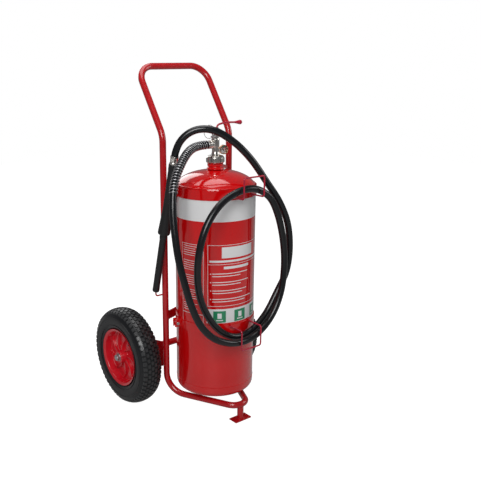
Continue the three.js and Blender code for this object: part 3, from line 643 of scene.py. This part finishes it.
def make_valve():
    outline = [
        (0, 968.5), (12, 968.5), (12, 975), (23, 975), (23, 994), (15, 994), (15, 1030), (13, 1040),
        (13, 1054), (15, 1060), (15, 1084), (13.5, 1090), (13.5, 1108), (0, 1108),
    ]
    outlet = aimed(turned([(0, 0), (11.5, 0), (11.5, 22), (0, 22)], 48), (-1, 0, 0), (0, 0, 1067))
    gauge_stub = aimed(turned([(0, 0), (5, 0), (5, 15.3), (0, 15.3)], 32), (1, 0, 0), (0, -6, 1045))
    ears = [prism([(-8, y), (8, y), (8, y + 4.3), (-8, y + 4.3)], 1104, 1129) for y in (-8.5, 4.2)]
    shape = joined(turned(outline, 64, 0.7), outlet, gauge_stub, *ears)
    build("valve_casting", shape, "nickel", stands_for=["valve_body"], bevel=0.6)
    stem = turned([(0, 1050), (6.5, 1050), (6.5, 1058), (4, 1058), (4, 1112.5), (0, 1112.5)], 32)
    build("stem_rod", stem, "steel", "valve_stem", ["valve_stem"])

    hub = aimed(turned([(0, -3.6), (7, -3.6), (7, 3.6), (0, 3.6)], 40, 0.5), (0, 1, 0), (0, 0, 1120))
    line = finer(bent([(2, 0, 1120), (12, 0, 1138), (48, 0, 1144), (94, 0, 1142)], [0, 14, 30, 0]), 4)
    build("lever_rod", joined(hub, swept(line, 3.6, 18)), "hook_paint", "valve_lever", ["valve_lever"])
    knob = [(0, 0), (4.2, 0), (5, 6), (8.4, 24), (8.6, 28), (6, 32), (0, 33)]
    knob = aimed(turned(knob, 40, 0.8), (46, 0, -2), (94.3, 0, 1142))
    build("lever_end", knob, "hook_paint", "valve_lever", ["lever_knob"])
    pin = turned([(0, -11), (4, -11), (4, -9), (2.5, -9), (2.5, 11), (0, 11)], 24)
    build("lever_axle", aimed(pin, (0, 1, 0), (0, 0, 1120)), "steel", stands_for=["lever_pivot_pin"])

    pin = turned([(0, -28), (4, -28), (4.4, -26), (4.4, -21), (2, -19), (2, 24), (0, 24)], 24)
    pin = aimed(pin, (1, 0, 0), (0, -10.5, 1096))
    build("pin_rod", pin, "steel", "safety_pin", ["safety_pin"])
    centre = Vector((-38, -10.5, 1115.5))
    turns = [TAU * k / 64 for k in range(64)]
    line = [centre + Vector((24 * math.cos(a), 0, 24 * math.sin(a))) for a in turns]
    build("pin_ring", swept(line, 1.2, 10, closed=True), "steel", "safety_pin", ["pull_ring"])

    coupling = [
        (11.8, 16), (14, 16), (15.5, 18), (15.5, 24), (14, 26), (15.5, 28), (15.5, 37), (14.5, 38), (8, 38),
        (8, 22.3), (11.8, 22.3),
    ]
    coupling = aimed(turned(coupling, 56, 0.5), (-1, 0, 0), (0, 0, 1067))
    build("outlet_union", coupling, "nickel", stands_for=["outlet_coupling"])


def make_gauge():
    facing = (-0.2, -0.98, 0)

    def on_gauge(shape):
        return framed(shape, (0.98, -0.2, 0), facing, (34, -6, 1045))

    case = [(0, -9), (14, -9), (17.5, -6), (17.5, 7), (15, 7), (15, -5), (0, -5)]
    build("gauge_shell", on_gauge(turned(case, 64, 0.6)), "brass", stands_for=["gauge_case"])
    dial = turned([(0, -4.7), (14.7, -4.7), (14.7, -3), (0, -3)], 56)
    build("gauge_card", on_gauge(dial), "dial_face", stands_for=["gauge_dial"])

    def sector(start, end):
        return arc_plate(9.5, 12.5, math.radians(start), math.radians(end), -3, -2.85, 16)

    build("gauge_good_zone", on_gauge(sector(55, 125)), "green_print")
    build("gauge_bad_zones", on_gauge(joined(sector(-20, 53), sector(127, 200))), "red_print")
    hub = turned([(0, -2.6), (2, -2.6), (2, -0.8), (0, -0.8)], 24)
    blade = prism([(-0.9, -3), (0.9, -3), (0.25, 11), (-0.25, 11)], -2.2, -1.4)
    build("gauge_pointer", on_gauge(joined(hub, blade)), "black_plastic", "gauge_needle", ["gauge_needle"])
    lens = turned([(0, 4.4), (14.7, 4.4), (14.7, 6), (0, 6.2)], 56)
    build("gauge_window", on_gauge(lens), "lens_glass", stands_for=["gauge_lens"])


# ---------------------------------------------------------------- hose and gun

HOSE_ROUTE = [
    (-38.5, 0, 1067), (-64, 0, 1067), (-100, -7, 1064), (-138, -24, 1056), (-177, -46, 1039),
    (-215, -68, 1011), (-244, -83, 978), (-264, -96, 938), (-277, -109, 890), (-285, -122, 836),
    (-289, -137, 778), (-288, -153, 706), (-277, -171, 622), (-256, -186, 531), (-222, -196, 455),
    (-166, -200, 396), (-88, -201, 358), (-6, -200, 349), (66, -199, 372), (130, -198, 428),
    (173, -195, 512), (188, -191, 620), (174, -190, 728), (140, -191, 824), (104, -192, 879),
    (56, -193, 912), (0, -194, 926), (-70, -195, 917), (-134, -195, 888), (-188, -194, 832),
    (-221, -192, 756), (-230, -185, 659), (-211, -175, 556), (-163, -169, 462), (-101, -168, 394),
    (-33, -169, 360), (44, -168, 366), (119, -165, 414), (181, -164, 494), (225, -166, 567),
    (238, -168, 655), (222, -169, 761), (176, -170, 849), (106, -168, 936), (38, -158, 1022),
    (-16, -139, 1079), (-68, -117, 1118), (-97, -102.5, 1131.5), (-124, -85.5, 1136), (-150, -67, 1131),
    (-174, -49.5, 1115), (-192, -35, 1089), (-202, -26, 1058), (-204, -21.5, 1040),
]


def spring(line, length):
    """A wire wound round the first stretch of a line."""
    coil_r, wire_r, pitch, turn_steps = 14.6, 1.9, 10.5, 18
    wire = []
    travelled = 0.0
    frames = carried(finer(line, pitch / turn_steps))
    for (point, side, other), (after, _, _) in zip(frames, frames[1:]):
        a = TAU * travelled / pitch
        wire.append(point + (side * math.cos(a) + other * math.sin(a)) * coil_r)
        travelled += (after - point).length
        if travelled > length:
            break
    return swept(wire, wire_r, 7)


def make_hose():
    line = smooth_route(HOSE_ROUTE, 12)
    tube = swept(line, HOSE_R, 28)
    hose = build("hose_tube", tube, "hose_rubber", stands_for=["discharge_hose"], sharp=60)
    wire = spring(line, GUARD_LENGTH)
    guard = build("guard_spring", wire, "guard_steel", stands_for=["hose_guard"], sharp=60)
    return hose, guard, [row(p) for p in line]


GUN_TOP = Vector((-204, -22, 1042))
GUN_UP = Vector((0.003615, -0.240407, 0.970666))
GUN_OUT = Vector((0.808265, -0.57084, -0.144392))
MOUTH = -553.2


def on_gun(shape):
    return framed(shape, GUN_OUT, GUN_UP, GUN_TOP)


def make_gun():
    ferrule = [(9, -30), (15.5, -30), (15.5, -24), (14.2, -22), (14.2, -8), (15, -6), (15, 0), (9, 0)]
    crimps = [turned([(13.5, z), (14.7, z + 1), (13.5, z + 2)], 48) for z in (-20, -16, -12)]
    shape = joined(turned(ferrule, 56, 0.5), *crimps)
    end_piece = build("ferrule_crimped", on_gun(shape), "nickel", stands_for=["hose_ferrule"])
    collar = turned([(9, -53), (17, -53), (17, -30.3), (9, -30.3)], 56, 1.2)
    build("collar_ring", on_gun(collar), "black_plastic", stands_for=["gun_collar"])
    grip = turned([(9, -175), (16.2, -175), (16.2, -53.3), (9, -53.3)], 56, 1.2)
    rings = []
    for z in range(-168, -60, 9):
        rings.append(turned([(15.6, z), (16.5, z + 1.5), (16.5, z + 4), (15.6, z + 5.5)], 56))
    build("grip_ribbed", on_gun(joined(grip, *rings)), "grip_rubber", stands_for=["gun_grip"])
    body = [
        (9, -305), (22, -305), (23.5, -300), (21, -262), (17, -200), (16.5, -175.3), (9, -175.3),
    ]
    lugs = [prism([(10, y), (27, y), (27, y + 3.8), (10, y + 3.8)], -216, -196) for y in (-8, 4.2)]
    shape = joined(turned(body, 56, 1), *lugs)
    build("gun_casting", on_gun(shape), "black_plastic", stands_for=["gun_body"], bevel=0.6)
    nozzle = [
        (9.5, MOUTH), (13, MOUTH), (13.8, MOUTH + 4), (13.5, MOUTH + 30), (13, -330), (14.5, -320),
        (14.5, -305.3), (9.5, -305.3),
    ]
    build("nozzle_tube", on_gun(turned(nozzle, 56, 0.8)), "black_plastic", stands_for=["gun_nozzle"])
    pin = turned([(0, -11), (4.2, -11), (4.2, -9), (2.5, -9), (2.5, 10.5), (0, 10.5)], 24)
    pin = on_gun(framed(pin, (1, 0, 0), (0, 1, 0), (22, 0, -205)))
    build("trigger_axle", pin, "steel", stands_for=["trigger_pin"])
    eye = framed(turned([(2.6, -3.6), (4.6, -3.6), (4.6, 3.6), (2.6, 3.6)], 32, 0.4), (1, 0, 0), (0, 1, 0),
                 (22, 0, -205))
    arm = swept(finer(bent([(25, 0, -208.5), (29, 0, -221), (41, 0, -302)], [0, 14, 0]), 4), 3.8, 16)
    build("trigger_lever", on_gun(joined(eye, arm)), "black_plastic", "gun_trigger", ["gun_trigger"])
    return end_piece


# ---------------------------------------------------------------- printed livery, with no lettering

def wrap(start, end, low, high, lift=0.12):
    """A patch on the cylinder between two angles in degrees and two heights."""
    steps = max(2, math.ceil(abs(end - start) / 1.5))
    points = []
    for k in range(steps + 1):
        a = math.radians(start + (end - start) * k / steps)
        r = SHELL_R + lift
        for z in (low, high):
            points.append(Vector((r * math.cos(a), r * math.sin(a), z)))
    return points, [(2 * k, 2 * k + 2, 2 * k + 3, 2 * k + 1) for k in range(steps)]


def box_line(start, end, low, high, width=1.6):
    """A thin outlined box."""
    turn = math.degrees(width / SHELL_R)
    return joined(
        wrap(start, end, low, low + width), wrap(start, end, high - width, high),
        wrap(start, start + turn, low, high), wrap(end - turn, end, low, high),
    )


def text_bars(start, end, low, high, step, chance):
    """Rows of plain bars where the original has small print."""
    bars = []
    z = high
    while z > low:
        reach = start + (end - start) * chance.uniform(0.6, 1)
        bars.append(wrap(start, reach, z - 1.8, z))
        ends_paragraph = len(bars) % 5 == 0
        z -= 2.6 * step if ends_paragraph else step
    return joined(*bars)


def make_livery():
    chance = random.Random(4)
    white = [
        wrap(-180, 180, 804, 883, 0.1),
        box_line(-139.5, -40.5, 481, 718), wrap(-139.5, -40.5, 643.2, 644.8),
        wrap(-120, -67, 668, 710), wrap(-137, -45, 652, 660), wrap(-117, -75, 626, 636),
        wrap(-141, -40, 414, 470, 0.1),
    ]
    for top in (610, 577, 544, 511):
        white.append(wrap(-136, -134.5, top - 4, top))
        white.append(wrap(-133, chance.uniform(-80, -68), top - 3, top))
        white.append(wrap(-133, chance.uniform(-92, -80), top - 13, top - 10))
    for start, end in ((-182, -145.4), (-34.6, 2)):
        white += [box_line(start, end, 404, 716), text_bars(start + 3, end - 3, 452, 708, 8.5, chance)]
        white.append(wrap(start, end, 443.2, 444.8))
    build("livery_white", joined(*white), "white_print")
    green, shapes = [], []
    for start, end in ((-131.6, -113.5), (-100.5, -81.4), (-69, -50)):
        green.append(wrap(start, end, 416, 462, 0.18))
        middle = (start + end) / 2
        shapes += [wrap(middle - 5, middle + 5, 423, 427, 0.24), wrap(middle - 3, middle + 3, 432, 453, 0.24)]
    build("livery_green", joined(*green), "green_print")
    build("livery_signs", joined(*shapes), "white_print")


# ---------------------------------------------------------------- floor and light

def make_studio():
    scene = bpy.context.scene
    scene.view_settings.view_transform = "Standard"
    world = bpy.data.worlds.new("studio")
    scene.world = world
    world.use_nodes = True
    nodes = world.node_tree.nodes
    link = world.node_tree.links.new
    seen = nodes["Background"]
    seen.inputs["Color"].default_value = (1.0, 1.0, 1.0, 1)
    cast = nodes.new("ShaderNodeBackground")
    cast.inputs["Color"].default_value = (0.16, 0.16, 0.165, 1)
    path = nodes.new("ShaderNodeLightPath")
    mix = nodes.new("ShaderNodeMixShader")
    link(path.outputs["Is Camera Ray"], mix.inputs["Fac"])
    link(cast.outputs["Background"], mix.inputs[1])
    link(seen.outputs["Background"], mix.inputs[2])
    link(mix.outputs["Shader"], nodes["World Output"].inputs["Surface"])

    work = bmesh.new()
    bmesh.ops.create_grid(work, x_segments=24, y_segments=24, size=7)
    mesh = bpy.data.meshes.new("floor")
    work.to_mesh(mesh)
    work.free()
    pale = surface("floor_sweep", (0.3, 0.3, 0.3), 0.5, mottle=0.01, bump=0.01)
    glow = pale.node_tree.nodes["Principled BSDF"]
    glow.inputs["Emission Color"].default_value = (1, 1, 1, 1)
    # The floor is bright to look at, but lights the object's underside only a little.
    links = pale.node_tree.links
    sight = pale.node_tree.nodes.new("ShaderNodeLightPath")
    strength = pale.node_tree.nodes.new("ShaderNodeMapRange")
    strength.inputs["To Min"].default_value = 0.12
    strength.inputs["To Max"].default_value = 0.97
    links.new(sight.outputs["Is Camera Ray"], strength.inputs["Value"])
    links.new(strength.outputs["Result"], glow.inputs["Emission Strength"])
    mesh.materials.append(pale)
    floor = bpy.data.objects.new("floor", mesh)
    bpy.context.collection.objects.link(floor)

    lamps = (
        ("key", (-2.2, -2.2, 2.6), 1.6, 66),
        ("fill", (2.6, -1.6, 1.8), 1.4, 17),
        ("top", (0, 0.2, 3.4), 2.2, 36),
        ("behind", (0.6, 2.6, 2.0), 1.6, 16),
    )
    for name, at, size, power in lamps:
        data = bpy.data.lights.new(name, "AREA")
        data.shape = "SQUARE"
        data.size = size
        data.energy = power
        lamp = bpy.data.objects.new(name, data)
        lamp.location = at
        lamp.rotation_euler = (Vector((0, 0, 0.7)) - Vector(at)).to_track_quat("-Z", "Y").to_euler()
        bpy.context.collection.objects.link(lamp)


def dress_rest():
    """CAD nodes that nothing stands in for get their slot's finish and rounded edges."""
    slots = {part["node"]: part["material_slot"] for part in frame["record"]["subparts"]}
    for name, node in frame["nodes"].items():
        if node.hide_render:
            continue
        node.data.materials.clear()
        node.data.materials.append(FINISHES[slots[name]])
        rounding = node.modifiers.new("rounding", "BEVEL")
        rounding.width = 0.5 * MM
        rounding.segments = 2
        rounding.limit_method = "ANGLE"


set_camera()
hose, guard, hose_line = make_hose()
ferrule = make_gun()
make_frame()
make_axle()
make_wheel(-1, "left")
make_wheel(1, "right")
make_cylinder()
make_clamps()
make_rods()
make_neck()
make_valve()
make_gauge()
make_livery()
dress_rest()
make_studio()
